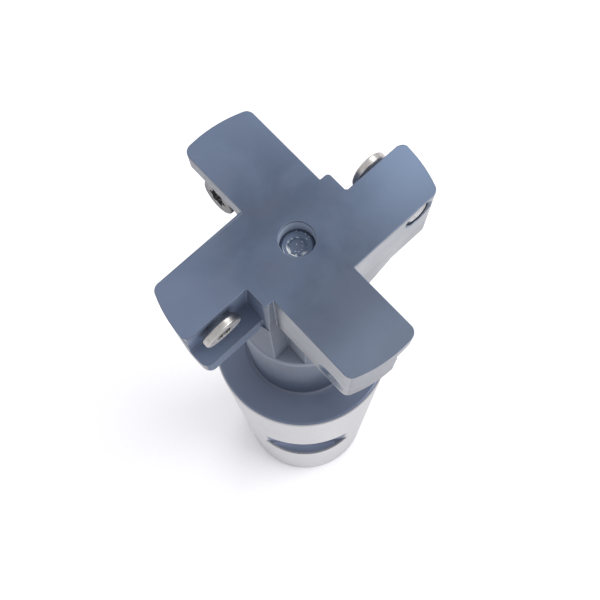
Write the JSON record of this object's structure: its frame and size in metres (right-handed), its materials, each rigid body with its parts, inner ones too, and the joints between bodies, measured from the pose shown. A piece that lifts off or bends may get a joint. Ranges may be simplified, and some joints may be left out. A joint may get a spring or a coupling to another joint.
{
  "type": "indexable slot milling cutter",
  "caption": "Cross-shaped indexable milling head with staggered empty insert pockets and their clamp screws, held on a necked arbor with a long cylindrical shank and clamping flat.",
  "frame": {"origin": "centre of the shank's end face", "axes": "+Z along the tool axis to the cutting face; the four arms lie along +X, +Y, -X and -Y"},
  "size_m": [0.046, 0.046, 0.192],
  "materials": {
    "ground_steel": "ground shank, black-oxide neck and shoulder face",
    "black_oxide": "black oxide over milled steel",
    "screw_steel": "bright hardened steel",
    "pin_steel": "ground dowel"
  },
  "bodies": {
    "tool": {"arbor": "ground_steel", "cutter_head": "black_oxide", "drive_pin_1": "pin_steel", "drive_pin_2": "pin_steel"},
    "washer_body": {"lock_washer": "screw_steel"},
    "centre_screw_body": {"centre_screw": "black_oxide"},
    "insert_screw_1_body": {"insert_screw_1": "screw_steel"},
    "insert_screw_2_body": {"insert_screw_2": "screw_steel"},
    "insert_screw_3_body": {"insert_screw_3": "screw_steel"},
    "insert_screw_4_body": {"insert_screw_4": "screw_steel"}
  },
  "joints": [
    {"name": "insert_screw_1_out", "type": "slide", "parent": "tool", "child": "insert_screw_1_body", "axis": [0, 0.9945, -0.1045], "range_m": [0, 0.01]},
    {"name": "insert_screw_2_out", "type": "slide", "parent": "tool", "child": "insert_screw_2_body", "axis": [-0.9945, 0, 0.1045], "range_m": [0, 0.01]},
    {"name": "insert_screw_3_out", "type": "slide", "parent": "tool", "child": "insert_screw_3_body", "axis": [0, -0.9945, -0.1045], "range_m": [0, 0.01]},
    {"name": "insert_screw_4_out", "type": "slide", "parent": "tool", "child": "insert_screw_4_body", "axis": [0.9945, 0, 0.1045], "range_m": [0, 0.01]},
    {"name": "centre_screw_lift", "type": "slide", "parent": "tool", "child": "washer_body", "axis": [0, 0, 1], "range_m": [0, 0.005]},
    {"name": "centre_screw_turn", "type": "hinge", "parent": "washer_body", "child": "centre_screw_body", "pos_m": [0, 0, 0.185], "axis": [0, 0, 1], "range_deg": [0, 3605]}
  ],
  "couplings": [
    {"joint": "centre_screw_turn", "follows": "centre_screw_lift", "rad_per_m": 12566}
  ]
}
